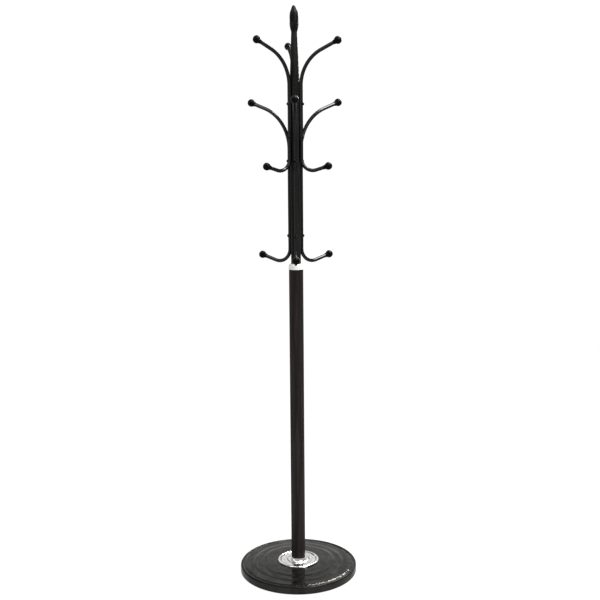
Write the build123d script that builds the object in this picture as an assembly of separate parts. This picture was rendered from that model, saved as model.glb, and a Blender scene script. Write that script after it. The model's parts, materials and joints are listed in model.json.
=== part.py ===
from build123d import *

import os
from dataclasses import dataclass
from math import cos, radians, sin, tan

# Standing coat rack with a heavy round base, a two-stage pole and six double-ended hook bars.
# The upper stage carries the bars and turns in the lower one.
# Millimetres, +Z up, origin on the floor on the pole's axis, the viewer on the -Y side.
# The swivel and all that it carries are modelled from the top of the lower tube, then raised to it.

# Overall
TOTAL_HEIGHT = 1750

# Fits and clearances
PRESS_GAP = 0.02
RUNNING_GAP = 0.06
LOOSE_GAP = 0.3
SCREW_GAP = 0.15
EDGE_TOLERANCE = 0.01

# Feet and base disc
FLOOR_GAP = 1.5
FOOT_RADIUS = 12
FOOT_HEIGHT = 4
FOOT_COUNT = 4
FOOT_CIRCLE_RADIUS = 148
FIRST_FOOT_ANGLE = 45
BASE_RADIUS = 184.5
BASE_EDGE_HEIGHT = 25
BASE_EDGE_ROUND = 5
RIM_BEAD_WIDTH = 7
RIM_BEAD_RISE = 1.2
RIM_BEAD_ROUND = 1.5
BASE_BOTTOM_CHAMFER = 1.5
OUTER_STEP_RADIUS = 150
INNER_STEP_RADIUS = 115
STEP_HEIGHT = 1.5
STEP_ROUND = 1.2
LAND_RISE = 1.5
CENTRE_LAND_RADIUS = 68
CENTRE_LAND_HEIGHT = 34

# Bolt that ties the pole to the base
BOLT_RADIUS = 6
BOLT_HEAD_SIDES = 6
BOLT_HEAD_ACROSS_FLATS = 18
BOLT_HEAD_HEIGHT = 7.5
BOLT_GRIP_IN_PLUG = 24
BOLT_END_GAP = 1
WASHER_RADIUS = 25
WASHER_THICKNESS = 3
BOLT_RECESS_RADIUS = 30
BOLT_RECESS_HEIGHT = 14
FOOT_PLUG_HEIGHT = 30

# Pole
LOWER_TUBE_RADIUS = 22
UPPER_TUBE_RADIUS = 15
TUBE_WALL = 1.5
UPPER_TUBE_INSERT = 133.5
TAPER_START = 549.5
TAPER_END = 704.5
TAPER_TOP_RADIUS = 9

# Bright escutcheon on the base
FLANGE_RADIUS = 64.5
FLANGE_EDGE_HEIGHT = 1
FLANGE_BEAD_BULGE = 3.2
FLANGE_COVE_RADIUS = 44
FLANGE_COVE_HEIGHT = 2
FLANGE_COVE_SAG = 2.6
FLANGE_NECK_RADIUS = 24.5
FLANGE_HEIGHT = 11.5
FLANGE_HOLLOW_RADIUS = 40
FLANGE_HOLLOW_HEIGHT = 4

# Bright collar at the swivel
COLLAR_RADIUS = 23.4
COLLAR_BAND_HEIGHT = 6.5
COLLAR_GROOVE_DEPTH = 0.9
COLLAR_GROOVE_HEIGHT = 1
COLLAR_HEIGHT = 17
COLLAR_TOP_RADIUS = 17.4
COLLAR_SHOULDER_BULGE = 1.7
COLLAR_SPIGOT_LENGTH = 12

# Bearing inside the lower tube
GUIDE_BUSH_LENGTH = 40
PIVOT_FLANGE_HEIGHT = 4
PIVOT_PLUG_LENGTH = 24
THRUST_WASHER_HEIGHT = 2
CUP_FLOOR = 12
CUP_DEPTH = 34

# Hook bars and their ball tips
ROD_RADIUS = 5.5
BAR_SEAT_DEPTH = 0.15
BARS_PER_SET = 3
BALL_RADIUS = 11.6
BALL_NECK_RADIUS = 7.4
BALL_NECK_REACH = 14.5
BALL_NECK_MOUTH_RADIUS = 6.6
SOCKET_STOP = 2

# Dome head screws
SCREW_RADIUS = 2
SCREW_HEAD_RADIUS = 5
SCREW_HEAD_HEIGHT = 4.5
SCREW_SEAT_DEPTH = 0.8
SCREW_TIP_RADIUS = 8

# Bud finial
FINIAL_HEIGHT = 74
FINIAL_NECK_HEIGHT = 3
FINIAL_BELLY_RADIUS = 13.35
FINIAL_BELLY_HEIGHT = 28
FINIAL_BELLY_LENGTH = 8
FINIAL_TIP_RADIUS = 3.2
FINIAL_TIP_ROUND = 2.9
FINIAL_LOWER_BULGE = 0.6
FINIAL_UPPER_BULGE = 2.5
FINIAL_STEM_RADIUS = 7.3
FINIAL_STEM_LENGTH = 26
FLUTE_COUNT = 8
FLUTE_RADIUS = 3
FLUTE_DEPTH = 1.1
FLUTE_RUN_OUT = 3.6

# Places that follow from the sizes above
SWIVEL_HEIGHT = TOTAL_HEIGHT - FINIAL_HEIGHT - TAPER_END
LOWER_TUBE_BORE = LOWER_TUBE_RADIUS - TUBE_WALL
UPPER_TUBE_BORE = UPPER_TUBE_RADIUS - TUBE_WALL
BASE_BOTTOM = FLOOR_GAP
INSERT_RADIUS = LOWER_TUBE_BORE - PRESS_GAP
SPIGOT_BOTTOM = -COLLAR_SPIGOT_LENGTH
UPPER_TUBE_BOTTOM = -UPPER_TUBE_INSERT
PIVOT_BOTTOM = UPPER_TUBE_BOTTOM - PIVOT_FLANGE_HEIGHT
CUP_FLOOR_TOP = PIVOT_BOTTOM - THRUST_WASHER_HEIGHT
BAR_AXIS_RADIUS = UPPER_TUBE_RADIUS + ROD_RADIUS - BAR_SEAT_DEPTH
SCREW_SEAT_RADIUS = BAR_AXIS_RADIUS + ROD_RADIUS - SCREW_SEAT_DEPTH


@dataclass(frozen=True)
class HookBarSet:
    """Three equal bars round the pole. A ball's place is its distance from the axis, then its height."""

    name: str
    first_angle: float
    top_ball: tuple
    top_slope: float
    top_bend: float
    bottom_ball: tuple
    bottom_slope: float
    bottom_bend: float
    screw_heights: tuple

    def angles(self):
        return [self.first_angle + i * 360 / BARS_PER_SET for i in range(BARS_PER_SET)]


UPPER_BARS = HookBarSet(
    name="upper_bar",
    first_angle=98,
    top_ball=(136, 673.5),
    top_slope=25.3,
    top_bend=112,
    bottom_ball=(106, 312.5),
    bottom_slope=17,
    bottom_bend=36,
    screw_heights=(494.5, 397.5),
)
LOWER_BARS = HookBarSet(
    name="lower_bar",
    first_angle=-90,
    top_ball=(152.5, 501.5),
    top_slope=20.5,
    top_bend=130,
    bottom_ball=(119, 39.5),
    bottom_slope=17,
    bottom_bend=39,
    screw_heights=(326.5, 101.5),
)


# Helpers
def turned(*outline):
    """Turn a closed outline of (radius, height) edges about the pole's axis."""
    return revolve(Plane.XZ * make_face(outline), Axis.Z)


def turned_polygon(*points):
    return turned(Polyline(*points, close=True))


def ring(outer_radius, inner_radius, bottom, top):
    return turned_polygon(
        (inner_radius, bottom), (outer_radius, bottom), (outer_radius, top), (inner_radius, top)
    )


def disc(radius, bottom, top):
    return Pos(0, 0, bottom) * Cylinder(
        radius, top - bottom, align=(Align.CENTER, Align.CENTER, Align.MIN)
    )


def bulged_arc(start, end, bulge):
    """Arc between two outline points that bows out by the bulge, to the right of its direction."""
    start_point = Vector(*start)
    end_point = Vector(*end)
    along = (end_point - start_point).normalized()
    middle = (start_point + end_point) * 0.5 + Vector(along.Y, -along.X) * bulge
    return ThreePointArc(start_point, middle, end_point)


def rim_edges(solid, radius, height):
    """Circular edges of a turned solid at one radius and height."""
    return solid.edges().filter_by(GeomType.CIRCLE).filter_by(
        lambda edge: abs(edge.radius - radius) < EDGE_TOLERANCE
        and abs(edge.arc_center.Z - height) < EDGE_TOLERANCE
    )


def round_about(angle, shape):
    return Rot(0, 0, angle) * shape


def pointing_out(height, shape):
    """Lay a shape that stands on the origin along +X, at one height of the pole."""
    return Pos(0, 0, height) * Rot(0, 90, 0) * shape


# Base and its fastening
def make_base_disc():
    """Disc with a raised rim and two low steps, its underside recessed for the bolt and the feet."""
    outer_land = BASE_EDGE_HEIGHT + LAND_RISE
    middle_land = outer_land + STEP_HEIGHT + LAND_RISE
    bead_inside = BASE_RADIUS - RIM_BEAD_WIDTH
    base = turned_polygon(
        (0, BASE_BOTTOM),
        (BASE_RADIUS - BASE_BOTTOM_CHAMFER, BASE_BOTTOM),
        (BASE_RADIUS, BASE_BOTTOM + BASE_BOTTOM_CHAMFER),
        (BASE_RADIUS, BASE_EDGE_HEIGHT),
        (bead_inside, BASE_EDGE_HEIGHT),
        (bead_inside - RIM_BEAD_RISE, BASE_EDGE_HEIGHT - RIM_BEAD_RISE),
        (OUTER_STEP_RADIUS, outer_land),
        (OUTER_STEP_RADIUS, outer_land + STEP_HEIGHT),
        (INNER_STEP_RADIUS, middle_land),
        (INNER_STEP_RADIUS, middle_land + STEP_HEIGHT),
        (CENTRE_LAND_RADIUS, CENTRE_LAND_HEIGHT),
        (0, CENTRE_LAND_HEIGHT),
    )
    base = fillet(rim_edges(base, BASE_RADIUS, BASE_EDGE_HEIGHT), BASE_EDGE_ROUND)
    base = fillet(rim_edges(base, bead_inside, BASE_EDGE_HEIGHT), RIM_BEAD_ROUND)
    base = fillet(rim_edges(base, OUTER_STEP_RADIUS, outer_land + STEP_HEIGHT), STEP_ROUND)
    base = fillet(rim_edges(base, INNER_STEP_RADIUS, middle_land + STEP_HEIGHT), STEP_ROUND)
    base -= disc(BOLT_RECESS_RADIUS, 0, BOLT_RECESS_HEIGHT)
    base -= disc(BOLT_RADIUS + LOOSE_GAP, 0, CENTRE_LAND_HEIGHT)
    pocket = disc(FOOT_RADIUS + SCREW_GAP, 0, FOOT_HEIGHT)
    return base - PolarLocations(FOOT_CIRCLE_RADIUS, FOOT_COUNT, FIRST_FOOT_ANGLE) * pocket


def make_base_feet():
    foot = disc(FOOT_RADIUS, 0, FOOT_HEIGHT)
    return Compound(PolarLocations(FOOT_CIRCLE_RADIUS, FOOT_COUNT, FIRST_FOOT_ANGLE) * foot)


def make_base_washer():
    bottom = BOLT_RECESS_HEIGHT - WASHER_THICKNESS
    return ring(WASHER_RADIUS, BOLT_RADIUS + LOOSE_GAP, bottom, BOLT_RECESS_HEIGHT)


def make_base_bolt():
    head_top = BOLT_RECESS_HEIGHT - WASHER_THICKNESS
    head_outline = RegularPolygon(BOLT_HEAD_ACROSS_FLATS / 2, BOLT_HEAD_SIDES, major_radius=False)
    head = Pos(0, 0, head_top - BOLT_HEAD_HEIGHT) * extrude(head_outline, BOLT_HEAD_HEIGHT)
    return head + disc(BOLT_RADIUS, head_top, CENTRE_LAND_HEIGHT + BOLT_GRIP_IN_PLUG)


def make_foot_plug():
    top = CENTRE_LAND_HEIGHT + FOOT_PLUG_HEIGHT
    plug = disc(INSERT_RADIUS, CENTRE_LAND_HEIGHT, top)
    thread = disc(BOLT_RADIUS + PRESS_GAP, 0, CENTRE_LAND_HEIGHT + BOLT_GRIP_IN_PLUG + BOLT_END_GAP)
    return plug - thread


def make_base_flange():
    """Dished cover with a rounded bead at its rim and a cove that sweeps up to a neck round the tube."""
    bottom = CENTRE_LAND_HEIGHT
    hole = LOWER_TUBE_RADIUS + SCREW_GAP
    edge = (FLANGE_RADIUS, bottom + FLANGE_EDGE_HEIGHT)
    valley = (FLANGE_COVE_RADIUS, bottom + FLANGE_COVE_HEIGHT)
    neck = (FLANGE_NECK_RADIUS, bottom + FLANGE_HEIGHT)
    inside = Polyline(
        neck,
        (hole, bottom + FLANGE_HEIGHT),
        (hole, bottom + FLANGE_HOLLOW_HEIGHT),
        (FLANGE_HOLLOW_RADIUS, bottom),
        (FLANGE_RADIUS, bottom),
        edge,
    )
    bead = bulged_arc(edge, valley, FLANGE_BEAD_BULGE)
    cove = bulged_arc(valley, neck, -FLANGE_COVE_SAG)
    return turned(*inside.edges(), bead, cove)


def make_lower_tube():
    return ring(LOWER_TUBE_RADIUS, LOWER_TUBE_BORE, CENTRE_LAND_HEIGHT, SWIVEL_HEIGHT)


# Swivel and upper tube
def make_swivel_collar():
    """Stepped collar: a spigot in the tube, a band, a groove and a curved shoulder."""
    bore = UPPER_TUBE_RADIUS + LOOSE_GAP
    groove_radius = COLLAR_RADIUS - COLLAR_GROOVE_DEPTH
    groove_top = COLLAR_BAND_HEIGHT + COLLAR_GROOVE_HEIGHT
    shoulder_top = (COLLAR_TOP_RADIUS, COLLAR_HEIGHT)
    band = Polyline(
        shoulder_top,
        (bore, COLLAR_HEIGHT),
        (bore, SPIGOT_BOTTOM),
        (INSERT_RADIUS, SPIGOT_BOTTOM),
        (INSERT_RADIUS, 0),
        (COLLAR_RADIUS, 0),
        (COLLAR_RADIUS, COLLAR_BAND_HEIGHT),
        (groove_radius, COLLAR_BAND_HEIGHT),
        (groove_radius, groove_top),
    )
    shoulder = bulged_arc((groove_radius, groove_top), shoulder_top, COLLAR_SHOULDER_BULGE)
    return turned(*band.edges(), shoulder)


def make_guide_bush():
    bore = UPPER_TUBE_RADIUS + RUNNING_GAP
    return ring(INSERT_RADIUS, bore, SPIGOT_BOTTOM - GUIDE_BUSH_LENGTH, SPIGOT_BOTTOM)


def make_bearing_cup():
    top = CUP_FLOOR_TOP + CUP_DEPTH
    cup = disc(INSERT_RADIUS, CUP_FLOOR_TOP - CUP_FLOOR, top)
    return cup - disc(UPPER_TUBE_RADIUS + RUNNING_GAP, CUP_FLOOR_TOP, top)


def make_thrust_washer():
    return disc(UPPER_TUBE_RADIUS - LOOSE_GAP, CUP_FLOOR_TOP, PIVOT_BOTTOM)


def make_pivot_plug():
    flange = disc(UPPER_TUBE_RADIUS, PIVOT_BOTTOM, UPPER_TUBE_BOTTOM)
    plug_radius = UPPER_TUBE_BORE - PRESS_GAP
    return flange + disc(plug_radius, UPPER_TUBE_BOTTOM, UPPER_TUBE_BOTTOM + PIVOT_PLUG_LENGTH)


def upper_tube_form(inset):
    """Solid form of the upper tube, straight and then tapered, taken in by the inset."""
    return turned_polygon(
        (0, UPPER_TUBE_BOTTOM),
        (UPPER_TUBE_RADIUS - inset, UPPER_TUBE_BOTTOM),
        (UPPER_TUBE_RADIUS - inset, TAPER_START),
        (TAPER_TOP_RADIUS - inset, TAPER_END),
        (0, TAPER_END),
    )


def make_upper_tube():
    tube = upper_tube_form(0) - upper_tube_form(TUBE_WALL)
    hole = disc(SCREW_RADIUS + PRESS_GAP, 0, UPPER_TUBE_RADIUS + ROD_RADIUS)
    for bar_set in (UPPER_BARS, LOWER_BARS):
        for angle in bar_set.angles():
            for height in bar_set.screw_heights:
                tube -= round_about(angle, pointing_out(height, hole))
    return tube


# Hook bars
def rod_line_corner(ball, slope):
    """Where the straight end of a hook, carried on, meets the bar's upright line."""
    return (BAR_AXIS_RADIUS, ball[1] - (ball[0] - BAR_AXIS_RADIUS) * tan(radians(slope)))


def rod_end(ball, slope):
    """The rod stops a little short of the ball's centre, on the floor of its socket."""
    return (ball[0] - SOCKET_STOP * cos(radians(slope)), ball[1] - SOCKET_STOP * sin(radians(slope)))


def make_hook_bar(bar_set):
    """Rod bent into a wide hook at the top and a tight one at the bottom, seated on the tube."""
    centre_line = Plane.XZ * FilletPolyline(
        rod_end(bar_set.top_ball, bar_set.top_slope),
        rod_line_corner(bar_set.top_ball, bar_set.top_slope),
        rod_line_corner(bar_set.bottom_ball, bar_set.bottom_slope),
        rod_end(bar_set.bottom_ball, bar_set.bottom_slope),
        radius=[bar_set.top_bend, bar_set.bottom_bend],
    )
    section = Plane(origin=centre_line @ 0, z_dir=centre_line % 0) * Circle(ROD_RADIUS)
    bar = sweep(section, path=centre_line)
    bar -= upper_tube_form(0)
    hole = disc(SCREW_RADIUS + SCREW_GAP, 0, SCREW_SEAT_RADIUS)
    spot_face = disc(SCREW_HEAD_RADIUS + SCREW_GAP, SCREW_SEAT_RADIUS, SCREW_SEAT_RADIUS + ROD_RADIUS)
    for height in bar_set.screw_heights:
        bar -= pointing_out(height, hole + spot_face)
    return bar


def make_ball():
    """Ball on the origin with a short neck and a blind socket, open along -Z."""
    neck_start = -(BALL_RADIUS**2 - BALL_NECK_RADIUS**2) ** 0.5
    neck = turned_polygon(
        (0, neck_start),
        (0, -BALL_NECK_REACH),
        (BALL_NECK_MOUTH_RADIUS, -BALL_NECK_REACH),
        (BALL_NECK_RADIUS, neck_start),
    )
    socket = disc(ROD_RADIUS + PRESS_GAP, -BALL_NECK_REACH, -SOCKET_STOP)
    return Sphere(BALL_RADIUS) + neck - socket


def ball_on_rod(ball, slope):
    return Pos(ball[0], 0, ball[1]) * Rot(0, 90 - slope, 0) * make_ball()


def make_screws(bar_set):
    """Dome head screws through every bar of a set into the tube."""
    dome_top = (0, SCREW_SEAT_RADIUS + SCREW_HEAD_HEIGHT)
    head_rim = (SCREW_HEAD_RADIUS, SCREW_SEAT_RADIUS)
    shank = Polyline(
        dome_top,
        (0, SCREW_TIP_RADIUS),
        (SCREW_RADIUS, SCREW_TIP_RADIUS),
        (SCREW_RADIUS, SCREW_SEAT_RADIUS),
        head_rim,
    )
    dome = TangentArc(dome_top, head_rim, tangent=(1, 0))
    screw = turned(*shank.edges(), dome)
    return Compound([
        round_about(angle, pointing_out(height, screw))
        for angle in bar_set.angles()
        for height in bar_set.screw_heights
    ])


# Finial
def make_finial():
    """Pointed bud with flutes that run up from its neck and fade out, on a stem in the tube's mouth."""
    neck_top = TAPER_END + FINIAL_NECK_HEIGHT
    belly = (FINIAL_BELLY_RADIUS, TAPER_END + FINIAL_BELLY_HEIGHT)
    shoulder = (FINIAL_BELLY_RADIUS, belly[1] + FINIAL_BELLY_LENGTH)
    tip = (FINIAL_TIP_RADIUS, TAPER_END + FINIAL_HEIGHT)
    foot = Polyline(
        tip,
        (0, TAPER_END + FINIAL_HEIGHT),
        (0, TAPER_END - FINIAL_STEM_LENGTH),
        (FINIAL_STEM_RADIUS, TAPER_END - FINIAL_STEM_LENGTH),
        (FINIAL_STEM_RADIUS, TAPER_END),
        (TAPER_TOP_RADIUS, TAPER_END),
        (TAPER_TOP_RADIUS, neck_top),
    )
    lower_curve = bulged_arc((TAPER_TOP_RADIUS, neck_top), belly, FINIAL_LOWER_BULGE)
    upper_curve = bulged_arc(shoulder, tip, FINIAL_UPPER_BULGE)
    bud = turned(*foot.edges(), lower_curve, Line(belly, shoulder), upper_curve)
    bud = fillet(rim_edges(bud, *tip), FINIAL_TIP_ROUND)
    stand_off = FLUTE_RADIUS - FLUTE_DEPTH
    flute_line = Plane.XZ * ThreePointArc(
        (TAPER_TOP_RADIUS + stand_off, neck_top),
        (FINIAL_BELLY_RADIUS + stand_off, belly[1]),
        (TAPER_TOP_RADIUS + stand_off + FLUTE_RUN_OUT, 2 * belly[1] - neck_top),
    )
    flute = sweep(Plane(origin=flute_line @ 0, z_dir=flute_line % 0) * Circle(FLUTE_RADIUS), path=flute_line)
    for i in range(FLUTE_COUNT):
        bud -= round_about((i + 0.5) * 360 / FLUTE_COUNT, flute)
    return bud


# The nodes
def make_lower_stage():
    return {
        "base_disc": make_base_disc(),
        "base_feet": make_base_feet(),
        "base_washer": make_base_washer(),
        "base_bolt": make_base_bolt(),
        "base_flange": make_base_flange(),
        "foot_plug": make_foot_plug(),
        "lower_tube": make_lower_tube(),
    }


def make_upper_stage():
    parts = {
        "swivel_collar": make_swivel_collar(),
        "guide_bush": make_guide_bush(),
        "bearing_cup": make_bearing_cup(),
        "thrust_washer": make_thrust_washer(),
        "pivot_plug": make_pivot_plug(),
        "upper_tube": make_upper_tube(),
        "finial": make_finial(),
    }
    for bar_set in (UPPER_BARS, LOWER_BARS):
        bar = make_hook_bar(bar_set)
        top_ball = ball_on_rod(bar_set.top_ball, bar_set.top_slope)
        bottom_ball = ball_on_rod(bar_set.bottom_ball, bar_set.bottom_slope)
        for number, angle in enumerate(bar_set.angles(), start=1):
            name = f"{bar_set.name}_{number}"
            parts[name] = round_about(angle, bar)
            parts[f"{name}_top_ball"] = round_about(angle, top_ball)
            parts[f"{name}_bottom_ball"] = round_about(angle, bottom_ball)
        parts[f"{bar_set.name}_screws"] = make_screws(bar_set)
    return {name: Pos(0, 0, SWIVEL_HEIGHT) * part for name, part in parts.items()}


os.makedirs("parts", exist_ok=True)
for node, shape in (make_lower_stage() | make_upper_stage()).items():
    export_step(shape, f"parts/{node}.step")
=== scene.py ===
import json
from math import atan, atan2, cos, pi, radians, sin, tan

import bmesh
import bpy
from mathutils import Euler, Matrix, Vector


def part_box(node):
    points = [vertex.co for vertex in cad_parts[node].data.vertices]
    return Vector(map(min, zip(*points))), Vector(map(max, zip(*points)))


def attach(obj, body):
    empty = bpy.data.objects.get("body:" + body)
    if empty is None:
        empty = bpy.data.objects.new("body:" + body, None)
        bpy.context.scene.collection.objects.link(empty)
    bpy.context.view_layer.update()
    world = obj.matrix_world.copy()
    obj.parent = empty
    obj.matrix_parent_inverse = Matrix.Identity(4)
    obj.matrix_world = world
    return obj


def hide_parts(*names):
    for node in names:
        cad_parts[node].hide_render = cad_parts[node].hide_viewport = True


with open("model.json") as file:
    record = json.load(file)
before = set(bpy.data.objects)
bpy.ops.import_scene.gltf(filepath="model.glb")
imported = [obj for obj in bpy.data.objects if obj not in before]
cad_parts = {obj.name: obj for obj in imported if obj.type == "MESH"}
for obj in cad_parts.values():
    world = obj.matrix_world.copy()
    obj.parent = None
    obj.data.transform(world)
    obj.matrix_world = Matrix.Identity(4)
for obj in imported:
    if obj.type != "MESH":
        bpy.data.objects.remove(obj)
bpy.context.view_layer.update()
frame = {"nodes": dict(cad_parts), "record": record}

# Lengths are in metres unless the name says otherwise, angles in degrees and powers in watts

# Camera, fitted to the photograph
IMAGE_PIXELS = 600
FOCAL_PIXELS = 968
SENSOR_WIDTH_MM = 36
CAMERA_PLACE = (0, -2.933, 1.354)
CAMERA_PITCH_DOWN = 9.26
CAMERA_ROLL = -0.43
CAMERA_YAW = -0.22

# Studio levels, where 1 is white
FLOOR_SIZE = 12
BACKDROP_DISTANCE = 3.5
BACKDROP_HEIGHT = 5
WHITE_SHARE = 0.9
WHITE_LEVEL = 1.07
BACKDROP_MIRRORED_LEVEL = 0.76
FLOOR_MIRRORED_LEVEL = 0.38
WORLD_LEVEL = 0.35
WORLD_MIRRORED_LEVEL = 0.38
PALE_FLOOR = 0.8

# Lamps: where each one stands, what it is aimed at, its width and length, and its power
LAMPS = {
    "overhead": dict(place=(0.85, -0.45, 3.0), target=(0.1, 0.06, 1.45), size=(0.55, 1.9), power=72),
    "overhead_left": dict(place=(-0.85, -0.45, 3.0), target=(-0.1, 0.06, 1.45), size=(0.55, 1.9), power=11),
    "back_right": dict(place=(0.86, 1.34, 2.33), target=(0.06, 0.09, -0.07), size=(0.3, 2.0), power=78),
    "front_right": dict(place=(1.6, -3.0, 2.6), target=(0, 0, 0.9), size=(1.2, 1.2), power=10),
    "left_bank": dict(place=(-2.6, -1.0, 1.7), target=(0, 0, 1.0), size=(0.5, 2.0), power=5),
}

# Turned base: a bead at the rim, a shoulder that falls outwards, two low steps and a seat for the flange
BASE_EDGE_HEIGHT = 0.025
BASE_EDGE_ROUND = 0.005
BASE_CHAMFER = 0.0015
BASE_BEAD_FOOT_RADIUS = 0.1755
BASE_BEAD_BULGE = 0.0006
SHOULDER_RADIUS = 0.17
SHOULDER_HEIGHT = 0.0261
SHOULDER_WIDTH = 0.005
SHOULDER_TILT = 21.5
SHOULDER_BULGE = 0.00007
SHOULDER_ROUND = 0.0044
OUTER_STEP_RADIUS = 0.142
OUTER_STEP_FOOT = 0.0267
INNER_STEP_RADIUS = 0.115
INNER_STEP_FOOT = 0.0294
STEP_HEIGHT = 0.0018
STEP_WIDTH = 0.0065
SEAT_WIDTH = 0.002
SEAT_HEIGHT = 0.002
BOLT_HOLE_RADIUS = 0.0063
BOLT_RECESS_RADIUS = 0.03
BOLT_RECESS_HEIGHT = 0.014

# Bands of the base's finish: a dark line round the edge, painted shade in the colour, and the polish of the
# side
EDGE_SHADE_RADIUS = 0.1808
EDGE_SHADE_REACH = 0.0038
SIDE_POLISH_START = 0.1836
SIDE_POLISH_END = 0.1844

# Turned escutcheon round the foot of the pole: a bead, a round ring and a neck, parted by two grooves
FLANGE_HOLE_RADIUS = 0.02215
FLANGE_BEAD_INNER_RADIUS = 0.056
FLANGE_RING_OUTER_RADIUS = 0.0545
FLANGE_RING_INNER_RADIUS = 0.036
FLANGE_NECK_FOOT_RADIUS = 0.0345
FLANGE_NECK_TOP_RADIUS = 0.0245
FLANGE_EDGE_HEIGHT = 0.001
FLANGE_GROOVE_HEIGHT = 0.0008
FLANGE_BEAD_BULGE = 0.0022
FLANGE_RING_BULGE = 0.0018
FLANGE_NECK_HOLLOW = 0.0026
FLANGE_GROOVE_WIDTH = 0.0044

# Carved bud on top: petals that close to a leaning tip, with pointed sepals round their feet
BUD_STEM_RADIUS = 0.0073
BUD_STEM_LENGTH = 0.026
BUD_NECK_RADIUS = 0.009
BUD_NECK_HEIGHT = 0.003
BUD_BELLY_BOTTOM = 0.028
BUD_BELLY_TOP = 0.036
BUD_LOWER_BULGE = 0.0006
BUD_UPPER_BULGE = 0.0026
BUD_TIP_RADIUS = 0.0056
BUD_TIP_ROUND = 0.003
BUD_TIP_BULGE = 0.0008
PETALS = 5
SEPAL_PROUD = 0.0013
PETAL_SEAM_DEPTH = 0.0022
PETAL_SEAM_SHARPNESS = 5
PETAL_TOP = 0.8
PETAL_TOP_DROP = 0.16
SEPAL_TOP = 0.34
CARVED_EDGE = 0.045
HEART_INSET = 0.0007
TIP_LEAN = 0.0012

# Dome head screws that hold the bars, with a hexagon socket
SCREW_SHANK_RADIUS = 0.002
SCREW_HEAD_RADIUS = 0.005
SCREW_HEAD_HEIGHT = 0.0045
SCREW_DOME_BULGE = 0.001
SCREW_SEAT_RADIUS = 0.02505
SCREW_TIP_RADIUS = 0.008
SOCKET_ACROSS_FLATS = 0.003
SOCKET_MOUTH_RADIUS = 0.0018
SOCKET_DEPTH = 0.0022
SOCKET_SIDES = 6
BARS_PER_SET = 3
UPPER_SCREWS = {"node": "upper_bar_screws", "first_angle": 98, "heights": (1.466, 1.369)}
LOWER_SCREWS = {"node": "lower_bar_screws", "first_angle": -90, "heights": (1.298, 1.073)}

# Marks in the finishes, by how often they repeat in a metre
WIPE_SCALES = (90, 90, 4)
POLISH_LINE_RATE = 2600

# Fineness of the turned pieces
BASE_TURN_STEPS = 192
FLANGE_TURN_STEPS = 96
BUD_TURN_STEPS = 240
SCREW_TURN_STEPS = 24
ARC_STEPS = 10
BUD_ARC_STEPS = 60
MERGE_DISTANCE = 0.000001
SHARP_ANGLE = 35

NODES = frame["nodes"]
SLOT_OF_NODE = {part["node"]: part["material_slot"] for part in frame["record"]["subparts"]}


# Shader graphs
class Value:
    """A socket of a shader graph, with arithmetic that adds the nodes for it."""

    def __init__(self, graph, socket):
        self.graph = graph
        self.socket = socket

    def _math(self, operation, first, second):
        return self.graph.node("ShaderNodeMath", {"operation": operation}, {0: first, 1: second})

    def __add__(self, other):
        return self._math("ADD", self, other)

    def __radd__(self, other):
        return self._math("ADD", other, self)

    def __sub__(self, other):
        return self._math("SUBTRACT", self, other)

    def __rsub__(self, other):
        return self._math("SUBTRACT", other, self)

    def __mul__(self, other):
        return self._math("MULTIPLY", self, other)

    def __rmul__(self, other):
        return self._math("MULTIPLY", other, self)

    def __truediv__(self, other):
        return self._math("DIVIDE", self, other)

    def __rtruediv__(self, other):
        return self._math("DIVIDE", other, self)

    def at_least(self, other):
        return self._math("MAXIMUM", self, other)

    def between(self, low, high):
        """0 below the low value, 1 above the high one and smooth in between."""
        settings = {"interpolation_type": "SMOOTHSTEP"}
        inputs = {"Value": self, "From Min": low, "From Max": high}
        return self.graph.node("ShaderNodeMapRange", settings, inputs)

    def near(self, centre, reach):
        """1 at the centre, and smoothly down to 0 at the reach on either side of it."""
        gap = self - centre
        return 1 - (gap * gap).between(0, reach**2)

    def sine(self):
        return self._math("SINE", self, 0)


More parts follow.
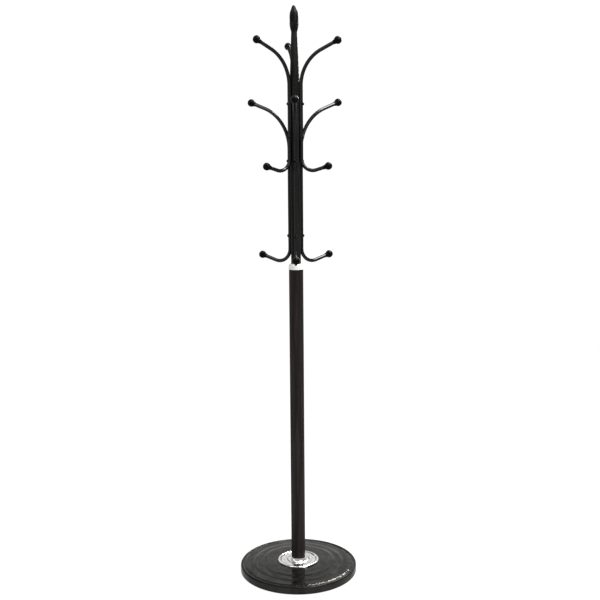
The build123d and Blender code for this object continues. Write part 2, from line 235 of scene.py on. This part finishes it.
class Graph:
    """The node tree of one material, or of the world."""

    def __init__(self, owner):
        owner.use_nodes = True
        self.owner = owner
        self.tree = owner.node_tree
        self.tree.nodes.clear()

    def node(self, kind, settings=None, inputs=None, output=0):
        """Add a node with its settings and inputs, and give one of its outputs."""
        made = self.tree.nodes.new(kind)
        for name, value in (settings or {}).items():
            setattr(made, name, value)
        for name, value in (inputs or {}).items():
            self.feed(made.inputs[name], value)
        return Value(self, made.outputs[output]) if made.outputs else None

    def feed(self, socket, value):
        if isinstance(value, Value):
            self.tree.links.new(value.socket, socket)
        else:
            socket.default_value = value

    def place(self):
        """The point on the object, in metres of the shared frame."""
        return self.node("ShaderNodeTexCoord", output="Object")

    def noise(self, point, scale, detail=2.0, roughness=0.5):
        inputs = {"Vector": point, "Scale": scale, "Detail": detail, "Roughness": roughness}
        return self.node("ShaderNodeTexNoise", inputs=inputs)

    def streaks(self, point, length, width, detail=3.0):
        """Noise drawn out into arcs round the upright axis."""
        radius = self.distance_from_axis(point)
        flat = self.stretch(point, (1, 1, 0))
        facing = self.node("ShaderNodeVectorMath", {"operation": "NORMALIZE"}, {0: flat})
        along = self.stretch(facing, (1 / length, 1 / length, 0))
        across = self.node("ShaderNodeCombineXYZ", inputs={"Z": radius / width})
        drawn_out = self.node("ShaderNodeVectorMath", {"operation": "ADD"}, {0: along, 1: across})
        return self.noise(drawn_out, 1, detail)

    def cells(self, point, scale):
        return self.node("ShaderNodeTexVoronoi", inputs={"Vector": point, "Scale": scale})

    def stretch(self, point, factors):
        settings = {"operation": "MULTIPLY"}
        return self.node("ShaderNodeVectorMath", settings, {0: point, 1: factors})

    def distance_from_axis(self, point):
        flat = self.stretch(point, (1, 1, 0))
        return self.node("ShaderNodeVectorMath", {"operation": "LENGTH"}, {0: flat}, output="Value")

    def blend(self, share, first, second):
        """A colour between two colours. The mix node has these at its sockets 6 and 7."""
        settings = {"data_type": "RGBA"}
        return self.node("ShaderNodeMix", settings, {0: share, 6: first, 7: second}, output=2)

    def bump(self, height, depth, strength=1.0):
        inputs = {"Height": height, "Distance": depth, "Strength": strength}
        return self.node("ShaderNodeBump", inputs=inputs)

    def finish(self, **inputs):
        """End the graph in one Principled shader. A space in a socket's name is given as an underscore."""
        named = {name.replace("_", " "): value for name, value in inputs.items()}
        shader = self.node("ShaderNodeBsdfPrincipled", inputs=named)
        self.node("ShaderNodeOutputMaterial", inputs={"Surface": shader})
        return self.owner


def new_graph(name):
    return Graph(bpy.data.materials.new(name))


def tone(red, green, blue):
    return (red, green, blue, 1.0)


def grey(level):
    return tone(level, level, level)


# Colours of the finishes
POLE_DARK = tone(0.0175, 0.0141, 0.0134)
POLE_PALE = tone(0.038, 0.0308, 0.0293)
# The upper tube's colours are a darker copy of the pole's: the darkening is painted shade against the
# stronger lamp light at the top, and the more neutral tint is the tube's own
UPPER_TUBE_SHADED_DARK = tone(0.009, 0.0086, 0.008)
UPPER_TUBE_SHADED_PALE = tone(0.02, 0.0192, 0.0179)
SCREW_DARK = grey(0.004)
SCREW_PALE = grey(0.009)
ROD_DARK = grey(0.04)
ROD_PALE = grey(0.048)
ROD_EDGE = grey(0.5)
BALL_DARK = grey(0.002)
BALL_PALE = grey(0.005)
BUD_DARK = grey(0.003)
BUD_PALE = grey(0.008)
CHROME_BRIGHT = tone(1, 0.985, 0.96)
CHROME_DULL = tone(0.5, 0.49, 0.475)
# Dark colour painted into the flange's grooves: painted shade and reflection
CHROME_GROOVE_SHADE = tone(0.1, 0.098, 0.095)
STONE_DARK = tone(0.0035, 0.0035, 0.003)
STONE_PALE = tone(0.0145, 0.0145, 0.0125)
STONE_GRAIN = tone(0.06, 0.058, 0.05)
# Near-black painted shade for the line round the base's edge
STONE_EDGE_SHADE = grey(0.0006)
STONE_SHEEN = tone(1, 0.93, 0.78)
RUBBER_DARK = grey(0.012)
RUBBER_PALE = grey(0.03)
ZINC = tone(0.56, 0.57, 0.58)
ZINC_CAST = tone(0.55, 0.53, 0.46)
NYLON_DARK = tone(0.66, 0.65, 0.6)
NYLON_PALE = tone(0.74, 0.73, 0.69)


# Materials
def wiping_marks(graph, point):
    """Upright streaks, as a cloth leaves them."""
    return graph.noise(graph.stretch(point, WIPE_SCALES), scale=1, detail=4, roughness=0.6)


def dust_specks(graph, point):
    return graph.noise(point, scale=2600, detail=2, roughness=0.7).between(0.66, 0.8)


def satin_paint(name, dark, pale, rough, shine):
    """Black stoved paint: a fine orange-peel surface, faint wiping marks and a little dust."""
    graph = new_graph(name)
    point = graph.place()
    peel = graph.noise(point, scale=700, detail=2, roughness=0.4)
    wiped = wiping_marks(graph, point).between(0.38, 0.62)
    dust = dust_specks(graph, point)
    return graph.finish(
        Base_Color=graph.blend(wiped * 0.7 + dust * 0.3, dark, pale),
        Roughness=rough + wiped * 0.08 + dust * 0.1,
        Specular_IOR_Level=shine,
        Normal=graph.bump(peel, depth=0.00005, strength=0.3),
    )


def black_plating():
    """Black plated rods: a dark mirror with a fine ripple, faint wiping marks and a little dust."""
    graph = new_graph("bar_paint")
    point = graph.place()
    ripple = graph.noise(point, scale=260, detail=2, roughness=0.4)
    wiped = wiping_marks(graph, point).between(0.3, 0.75)
    dust = dust_specks(graph, point)
    return graph.finish(
        Base_Color=graph.blend(wiped, ROD_DARK, ROD_PALE),
        Metallic=1.0,
        Roughness=0.16 + wiped * 0.06 + dust * 0.15,
        Specular_Tint=ROD_EDGE,
        Normal=graph.bump(ripple, depth=0.00005, strength=0.3),
    )


def moulded_plastic(name, dark, pale, rough, shine):
    """Moulded black plastic with faint handling marks."""
    graph = new_graph(name)
    point = graph.place()
    marks = graph.noise(point, scale=160, detail=4, roughness=0.65).between(0.45, 0.8)
    swell = graph.noise(point, scale=70, detail=1)
    return graph.finish(
        Base_Color=graph.blend(marks, dark, pale),
        Roughness=rough + marks * 0.12,
        Specular_IOR_Level=shine,
        Normal=graph.bump(swell, depth=0.0002, strength=0.15),
    )


def bright_chrome(name, metallic):
    """Plated steel: bright, with fine round polishing lines, soft cloudy spots, dark arcs of painted
    reflection on the flange and painted shade in its grooves.
    """
    graph = new_graph(name)
    point = graph.place()
    radius = graph.distance_from_axis(point)
    spots = graph.noise(point, scale=180, detail=3, roughness=0.6).between(0.5, 0.85)
    lines = (radius * POLISH_LINE_RATE).sine()
    on_flange = radius.between(FLANGE_NECK_TOP_RADIUS, FLANGE_NECK_FOOT_RADIUS)
    # Dark arcs on the flange are painted reflection, standing for the dark marks its chrome mirrors
    arcs = graph.streaks(point, length=0.5, width=0.004).between(0.35, 0.65) * on_flange
    clean = graph.blend(spots * 0.08 + arcs * 0.55, CHROME_BRIGHT, CHROME_DULL)
    inner_groove = radius.near(FLANGE_NECK_FOOT_RADIUS, FLANGE_GROOVE_WIDTH / 2)
    outer_groove = radius.near(FLANGE_BEAD_INNER_RADIUS, FLANGE_GROOVE_WIDTH / 2)
    # The grooves are darkened in the colour as painted shade and reflection, and are also rougher
    groove_shade = (inner_groove + outer_groove) * graph.noise(point, scale=70, detail=3).between(0.42, 0.54)
    return graph.finish(
        Base_Color=graph.blend(groove_shade, clean, CHROME_GROOVE_SHADE),
        Metallic=metallic,
        Roughness=0.09 + spots * 0.05 + groove_shade * 0.15,
        Normal=graph.bump(lines, depth=0.00002, strength=0.2),
    )


def polished_stone():
    """Polished black stone: small grains, cloudy mottling, turned arcs, a wavy, worn shoulder and a dark
    line of painted shade round the edge.
    """
    graph = new_graph("base_stone")
    point = graph.place()
    radius = graph.distance_from_axis(point)
    grain = graph.noise(point, scale=1100, detail=2, roughness=0.6).between(0.6, 0.78)
    cloud = graph.noise(point, scale=38, detail=4, roughness=0.6).between(0.35, 0.7)
    arcs = graph.streaks(point, length=0.35, width=0.009)
    flakes = 1 - graph.cells(point, scale=420).between(0.05, 0.22)
    mottle = cloud * 0.4 + arcs.between(0.35, 0.65) * 0.6
    body = graph.blend(mottle, STONE_DARK, STONE_PALE)
    stone = graph.blend(grain * 0.4 + flakes * 0.15, body, STONE_GRAIN)
    # A dark line of painted shade round the edge, which is also rougher and has no coat
    edge_shade = radius.near(EDGE_SHADE_RADIUS, EDGE_SHADE_REACH)
    on_side = radius.between(SIDE_POLISH_START, SIDE_POLISH_END)
    on_shoulder = radius.near(SHOULDER_RADIUS, SHOULDER_WIDTH)
    waves = (graph.noise(point, scale=90, detail=0) - 0.5) * on_shoulder
    worn = on_shoulder * (1 - graph.noise(point, scale=120, detail=1).between(0.48, 0.6))
    top_coat = mottle * 0.24 * (1 - edge_shade) * (1 - worn)
    side_coat = on_side * 0.5
    relief = arcs * 0.25 + cloud * 0.1 + waves * 1.8
    return graph.finish(
        Base_Color=graph.blend(edge_shade, stone, STONE_EDGE_SHADE),
        Roughness=0.08 + cloud * 0.1 + grain * 0.06 + edge_shade * 0.2,
        Specular_IOR_Level=0.13,
        Specular_Tint=STONE_SHEEN,
        Coat_Weight=top_coat + side_coat,
        Coat_Roughness=0.06,
        Normal=graph.bump(relief, depth=0.001),
    )


def rubber():
    """Moulded rubber of the feet, with a fine grain."""
    graph = new_graph("feet_rubber")
    point = graph.place()
    grain = graph.noise(point, scale=1500, detail=3, roughness=0.6)
    return graph.finish(
        Base_Color=graph.blend(grain, RUBBER_DARK, RUBBER_PALE),
        Roughness=0.7 + grain * 0.2,
        Normal=graph.bump(grain, depth=0.0001, strength=0.4),
    )


def plated_steel():
    """Zinc-plated steel with a grainy sheen and a yellowish cast in places."""
    graph = new_graph("bare_steel")
    point = graph.place()
    cast = graph.noise(point, scale=60, detail=4, roughness=0.6).between(0.3, 0.8)
    grain = graph.noise(point, scale=1800, detail=2)
    return graph.finish(
        Base_Color=graph.blend(cast, ZINC, ZINC_CAST),
        Metallic=1.0,
        Roughness=0.28 + grain * 0.18,
        Normal=graph.bump(grain, depth=0.00004, strength=0.3),
    )


def nylon():
    """Natural nylon of the bearing, faintly clouded."""
    graph = new_graph("bearing_nylon")
    point = graph.place()
    cloud = graph.noise(point, scale=90, detail=3)
    return graph.finish(
        Base_Color=graph.blend(cloud, NYLON_DARK, NYLON_PALE),
        Roughness=0.4 + cloud * 0.15,
    )


MATERIALS = {
    "pole_paint": satin_paint("pole_paint", POLE_DARK, POLE_PALE, rough=0.3, shine=0.05),
    "bar_paint": black_plating(),
    "gloss_black": moulded_plastic("gloss_black", BALL_DARK, BALL_PALE, rough=0.32, shine=0.07),
    "bright_chrome": bright_chrome("bright_chrome", metallic=1.0),
    "base_stone": polished_stone(),
    "feet_rubber": rubber(),
    "bare_steel": plated_steel(),
    "bearing_nylon": nylon(),
}

# Finishes of the nodes that differ from the rest of their slot
SCREW_BLACK = satin_paint("screw_black", SCREW_DARK, SCREW_PALE, rough=0.42, shine=0.1)
NODE_FINISHES = {
    "upper_bar_screws": SCREW_BLACK,
    "lower_bar_screws": SCREW_BLACK,
    "finial": moulded_plastic("carved_black", BUD_DARK, BUD_PALE, rough=0.42, shine=0.14),
    # The upper tube gets a darker copy of the pole paint: painted shade that offsets the stronger light at
    # the top, with a more neutral tint of its own
    "upper_tube": satin_paint("upper_paint_shaded", UPPER_TUBE_SHADED_DARK, UPPER_TUBE_SHADED_PALE, rough=0.3, shine=0.05),
    # The collar's chrome is mostly a white diffuse colour with little metal: painted reflection of the
    # bright surroundings it mirrors
    "swivel_collar": bright_chrome("chrome_painted_white", metallic=0.15),
}


def finish_of(node):
    return NODE_FINISHES.get(node, MATERIALS[SLOT_OF_NODE[node]])


def dress_nodes():
    for name, piece in NODES.items():
        material = finish_of(name)
        for slot in piece.material_slots:
            slot.material = material


# Turned and carved pieces
def arc(start, end, bulge, steps=ARC_STEPS):
    """Points of a round stretch of an outline, bowed to the left of its direction by the bulge."""
    start = Vector(start)
    chord = Vector(end) - start
    half = chord.length / 2
    along = chord.normalized()
    left = Vector((-along.y, along.x))
    opening = 2 * atan(bulge / half)
    radius = half / sin(opening)
    turns = [opening * (2 * step / steps - 1) for step in range(1, steps)]
    middle = start + chord / 2
    points = []
    for turn in turns:
        rise = radius * (cos(turn) - cos(opening))
        points.append(middle + along * radius * sin(turn) + left * rise)
    return points


def quarter_round(start, end):
    """Points of a quarter circle that rounds an outer edge of an outline."""
    radius = abs(end[0] - start[0])
    return arc(start, end, -radius * (1 - cos(pi / 4)))


def straight(start, end, steps=ARC_STEPS):
    """Points along a straight stretch of an outline."""
    return [Vector(start).lerp(Vector(end), step / steps) for step in range(1, steps)]


def turned_form(outline, steps):
    """Mesh of a closed outline of (radius, height) points, turned about the upright axis."""
    form = bmesh.new()
    corners = [form.verts.new((radius, 0, height)) for radius, height in outline]
    sides = [form.edges.new(pair) for pair in zip(corners, corners[1:] + corners[:1])]
    bmesh.ops.spin(
        form,
        geom=corners + sides,
        cent=(0, 0, 0),
        axis=(0, 0, 1),
        angle=2 * pi,
        steps=steps,
        use_merge=True,
    )
    bmesh.ops.remove_doubles(form, verts=form.verts, dist=MERGE_DISTANCE)
    bmesh.ops.dissolve_degenerate(form, edges=form.edges, dist=MERGE_DISTANCE)
    bmesh.ops.recalc_face_normals(form, faces=form.faces)
    return form


def add_piece(name, form, body, node):
    """Make an object of a mesh, in the place and finish of the node that it stands for."""
    mesh = bpy.data.meshes.new(name)
    form.to_mesh(mesh)
    form.free()
    mesh.shade_smooth()
    mesh.set_sharp_from_angle(angle=radians(SHARP_ANGLE))
    mesh.materials.append(finish_of(node))
    piece = bpy.data.objects.new(name, mesh)
    bpy.context.scene.collection.objects.link(piece)
    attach(piece, body)
    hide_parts(node)


def shoulder_outline(rim):
    """Points from the rim inwards: the bead, the trough behind it and the shoulder."""
    tilt = radians(SHOULDER_TILT)
    reach = SHOULDER_ROUND * sin(tilt)
    drop = SHOULDER_ROUND * (1 - cos(tilt))
    bulge = SHOULDER_ROUND * (1 - cos(tilt / 2))
    brow = (SHOULDER_RADIUS - SHOULDER_WIDTH / 2, SHOULDER_HEIGHT - drop)
    back = (brow[0] - reach, SHOULDER_HEIGHT)
    foot = (brow[0] + SHOULDER_WIDTH, brow[1] - SHOULDER_WIDTH * tan(tilt))
    trough = (foot[0] + reach, foot[1] - drop)
    bead_foot = (BASE_BEAD_FOOT_RADIUS, trough[1])
    outline = [rim] + arc(rim, bead_foot, -BASE_BEAD_BULGE) + [bead_foot, trough]
    outline += arc(trough, foot, bulge) + [foot] + arc(foot, brow, -SHOULDER_BULGE) + [brow]
    return outline + arc(brow, back, -bulge) + [back]


def step_outline(start, radius, foot_height):
    """Points along the land from its start inwards to a low sloping step, and up to the lip of that."""
    foot = (radius + STEP_WIDTH / 2, foot_height)
    lip = (radius - STEP_WIDTH / 2, foot_height + STEP_HEIGHT)
    return straight(start, foot) + [foot] + straight(foot, lip) + [lip]


def add_base():
    """The base, from the bolt hole round the underside and the rim to the seat of the flange."""
    low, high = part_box("base_disc")
    radius = high[0]
    bottom = low[2]
    top = high[2]
    side_top = (radius, BASE_EDGE_HEIGHT - BASE_EDGE_ROUND)
    rim = (radius - BASE_EDGE_ROUND, BASE_EDGE_HEIGHT)
    seat = (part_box("base_flange")[1][0], top)
    seat_foot = (seat[0] + SEAT_WIDTH, top - SEAT_HEIGHT)
    outline = [(BOLT_HOLE_RADIUS, top), (BOLT_HOLE_RADIUS, BOLT_RECESS_HEIGHT)]
    outline += [(BOLT_RECESS_RADIUS, BOLT_RECESS_HEIGHT), (BOLT_RECESS_RADIUS, bottom)]
    outline += [(radius - BASE_CHAMFER, bottom), (radius, bottom + BASE_CHAMFER), side_top]
    outline += quarter_round(side_top, rim) + shoulder_outline(rim)
    outline += step_outline(outline[-1], OUTER_STEP_RADIUS, OUTER_STEP_FOOT)
    outline += step_outline(outline[-1], INNER_STEP_RADIUS, INNER_STEP_FOOT)
    outline += straight(outline[-1], seat_foot) + [seat_foot] + straight(seat_foot, seat) + [seat]
    add_piece("turned_base", turned_form(outline, BASE_TURN_STEPS), "stand", "base_disc")


def add_flange():
    """The escutcheon, from its hole round the underside and the edge to the top of its neck."""
    low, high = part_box("base_flange")
    bottom = low[2]
    top = high[2]
    edge = (high[0], bottom + FLANGE_EDGE_HEIGHT)
    bead_foot = (FLANGE_BEAD_INNER_RADIUS, bottom + FLANGE_GROOVE_HEIGHT)
    ring_outside = (FLANGE_RING_OUTER_RADIUS, bottom + FLANGE_GROOVE_HEIGHT)
    ring_inside = (FLANGE_RING_INNER_RADIUS, bottom + FLANGE_GROOVE_HEIGHT)
    neck_foot = (FLANGE_NECK_FOOT_RADIUS, bottom + FLANGE_GROOVE_HEIGHT)
    neck_top = (FLANGE_NECK_TOP_RADIUS, top)
    outline = [(FLANGE_HOLE_RADIUS, top), (FLANGE_HOLE_RADIUS, bottom), (high[0], bottom), edge]
    outline += arc(edge, bead_foot, -FLANGE_BEAD_BULGE) + [bead_foot, ring_outside]
    outline += arc(ring_outside, ring_inside, -FLANGE_RING_BULGE) + [ring_inside, neck_foot]
    outline += arc(neck_foot, neck_top, FLANGE_NECK_HOLLOW) + [neck_top]
    add_piece("turned_flange", turned_form(outline, FLANGE_TURN_STEPS), "stand", "base_flange")


def step_up(value, edge):
    """0 below the edge and 1 above it, over a short smooth slope."""
    share = min(1, max(0, (value - edge) / CARVED_EDGE + 0.5))
    return share * share * (3 - 2 * share)


def carve_bud(form, foot, height):
    """Sink the petals behind their sepals, part them by seams and close them over the bud's heart."""
    pitch = 2 * pi / PETALS
    for vert in form.verts:
        share = (vert.co.z - foot) / height
        radius = vert.co.xy.length
        if share <= 0 or radius < MERGE_DISTANCE:
            continue
        turn = atan2(vert.co.y, vert.co.x) + pi / 2
        across = 2 * abs((turn / pitch + 0.5) % 1 - 0.5)
        petal = step_up(share, SEPAL_TOP * across)
        seam = petal * across**PETAL_SEAM_SHARPNESS
        heart = step_up(share, PETAL_TOP - PETAL_TOP_DROP * across**2)
        depth = PETAL_SEAM_DEPTH * seam * (1 - heart) + HEART_INSET * heart - SEPAL_PROUD * (1 - petal)
        vert.co.xy *= 1 - min(depth, radius / 2) / radius
        vert.co.x -= TIP_LEAN * max(0, (share - PETAL_TOP) / (1 - PETAL_TOP)) ** 2


def add_bud():
    """The finial: a stem in the mouth of the tube, and the bud above it."""
    low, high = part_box("finial")
    foot = low[2] + BUD_STEM_LENGTH
    tip = high[2]
    belly_radius = high[0]
    neck = (BUD_NECK_RADIUS, foot + BUD_NECK_HEIGHT)
    belly = (belly_radius, foot + BUD_BELLY_BOTTOM)
    shoulder = (belly_radius, foot + BUD_BELLY_TOP)
    crown = (BUD_TIP_RADIUS, tip - BUD_TIP_ROUND)
    outline = [(0, tip), (0, low[2]), (BUD_STEM_RADIUS, low[2]), (BUD_STEM_RADIUS, foot)]
    outline += [(BUD_NECK_RADIUS, foot), neck] + arc(neck, belly, -BUD_LOWER_BULGE, BUD_ARC_STEPS) + [belly]
    outline += straight(belly, shoulder) + [shoulder]
    outline += arc(shoulder, crown, -BUD_UPPER_BULGE, BUD_ARC_STEPS) + [crown]
    outline += arc(crown, (0, tip), -BUD_TIP_BULGE)
    form = turned_form(outline, BUD_TURN_STEPS)
    carve_bud(form, foot, tip - foot)
    add_piece("carved_bud", form, "hook_head", "finial")


def screw_form():
    """One screw along +Z from its tip, with a hexagon socket in its dome."""
    head_foot = SCREW_SEAT_RADIUS
    head_top = head_foot + SCREW_HEAD_HEIGHT
    rim = (SCREW_HEAD_RADIUS, head_foot)
    mouth = (SOCKET_MOUTH_RADIUS, head_top)
    flats = SOCKET_ACROSS_FLATS / 2
    outline = [(0, head_top - SOCKET_DEPTH), (0, SCREW_TIP_RADIUS), (SCREW_SHANK_RADIUS, SCREW_TIP_RADIUS)]
    outline += [(SCREW_SHANK_RADIUS, head_foot), rim] + arc(rim, mouth, -SCREW_DOME_BULGE) + [mouth]
    outline += [(flats, head_top), (flats, head_top - SOCKET_DEPTH)]
    form = turned_form(outline, SCREW_TURN_STEPS)
    for vert in form.verts:
        in_socket = vert.co.z > head_top - SOCKET_DEPTH - MERGE_DISTANCE
        if in_socket and abs(vert.co.xy.length - flats) < MERGE_DISTANCE:
            turn = atan2(vert.co.y, vert.co.x) % (2 * pi / SOCKET_SIDES) - pi / SOCKET_SIDES
            vert.co.xy /= cos(turn)
    return form


def add_screws(screws):
    """All screws of one set of bars, as one piece."""
    lying = Matrix.Rotation(pi / 2, 4, "Y")
    form = bmesh.new()
    for bar in range(BARS_PER_SET):
        angle = radians(screws["first_angle"] + bar * 360 / BARS_PER_SET)
        for height in screws["heights"]:
            one = screw_form()
            one.transform(Matrix.Translation((0, 0, height)) @ Matrix.Rotation(angle, 4, "Z") @ lying)
            part = bpy.data.meshes.new("one_screw")
            one.to_mesh(part)
            one.free()
            form.from_mesh(part)
            bpy.data.meshes.remove(part)
    add_piece(screws["node"].replace("screws", "socket_screws"), form, "hook_head", screws["node"])


# Studio
def camera_looks(graph):
    """Two values: 1 for a direct look by the camera, and 1 for a look in a mirror or through glass."""
    direct = graph.node("ShaderNodeLightPath", output="Is Camera Ray")
    mirrored = graph.node("ShaderNodeLightPath", output="Is Glossy Ray")
    through = graph.node("ShaderNodeLightPath", output="Is Transmission Ray")
    return direct, mirrored.at_least(through)


def studio_white(name, mirrored_level):
    """Pale matt surface that still takes the object's shadow, most of it shown as plain white."""
    graph = new_graph(name)
    direct, mirrored = camera_looks(graph)
    pale = graph.node("ShaderNodeBsdfDiffuse", inputs={"Color": grey(PALE_FLOOR)})
    level = direct * WHITE_LEVEL + mirrored * mirrored_level
    white = graph.node("ShaderNodeEmission", inputs={"Color": grey(1), "Strength": level})
    share = (direct + mirrored) * WHITE_SHARE
    mixed = graph.node("ShaderNodeMixShader", inputs={0: share, 1: pale, 2: white})
    graph.node("ShaderNodeOutputMaterial", inputs={"Surface": mixed})
    return graph.owner


def add_sheet(name, corners, mirrored_level):
    mesh = bpy.data.meshes.new(name)
    mesh.from_pydata(corners, [], [range(len(corners))])
    mesh.materials.append(studio_white(name + "_white", mirrored_level))
    sheet = bpy.data.objects.new(name, mesh)
    bpy.context.scene.collection.objects.link(sheet)


def add_studio():
    half = FLOOR_SIZE / 2
    floor_corners = [(-half, -half, 0), (half, -half, 0), (half, half, 0), (-half, half, 0)]
    add_sheet("floor", floor_corners, FLOOR_MIRRORED_LEVEL)
    back = BACKDROP_DISTANCE
    top = BACKDROP_HEIGHT
    wall_corners = [(-half, back, 0), (half, back, 0), (half, back, top), (-half, back, top)]
    add_sheet("backdrop", wall_corners, BACKDROP_MIRRORED_LEVEL)


def add_light(name, place, target, size, power):
    light = bpy.data.lights.new(name, "AREA")
    light.shape = "RECTANGLE"
    light.size, light.size_y = size
    light.energy = power
    lamp = bpy.data.objects.new(name, light)
    lamp.location = place
    lamp.rotation_euler = (Vector(target) - Vector(place)).to_track_quat("-Z", "Y").to_euler()
    bpy.context.scene.collection.objects.link(lamp)


def add_lights():
    for name, lamp in LAMPS.items():
        add_light(name, **lamp)


def set_world():
    graph = Graph(bpy.data.worlds.new("studio"))
    direct, mirrored = camera_looks(graph)
    level = WORLD_LEVEL + direct * (1 - WORLD_LEVEL) + mirrored * (WORLD_MIRRORED_LEVEL - WORLD_LEVEL)
    light = graph.node("ShaderNodeBackground", inputs={"Color": grey(1), "Strength": level})
    graph.node("ShaderNodeOutputWorld", inputs={"Surface": light})
    bpy.context.scene.world = graph.owner


def add_camera():
    data = bpy.data.cameras.new("photo_camera")
    data.sensor_fit = "HORIZONTAL"
    data.sensor_width = SENSOR_WIDTH_MM
    data.lens = SENSOR_WIDTH_MM * FOCAL_PIXELS / IMAGE_PIXELS
    camera = bpy.data.objects.new("photo_camera", data)
    camera.location = CAMERA_PLACE
    aim = Euler((radians(90 - CAMERA_PITCH_DOWN), 0, radians(CAMERA_YAW))).to_matrix()
    roll = Matrix.Rotation(radians(CAMERA_ROLL), 3, "Z")
    camera.rotation_euler = (aim @ roll).to_euler()
    bpy.context.scene.collection.objects.link(camera)
    bpy.context.scene.camera = camera


dress_nodes()
add_base()
add_flange()
add_bud()
add_screws(UPPER_SCREWS)
add_screws(LOWER_SCREWS)
add_studio()
add_lights()
set_world()
add_camera()
bpy.context.scene.view_settings.view_transform = "Standard"
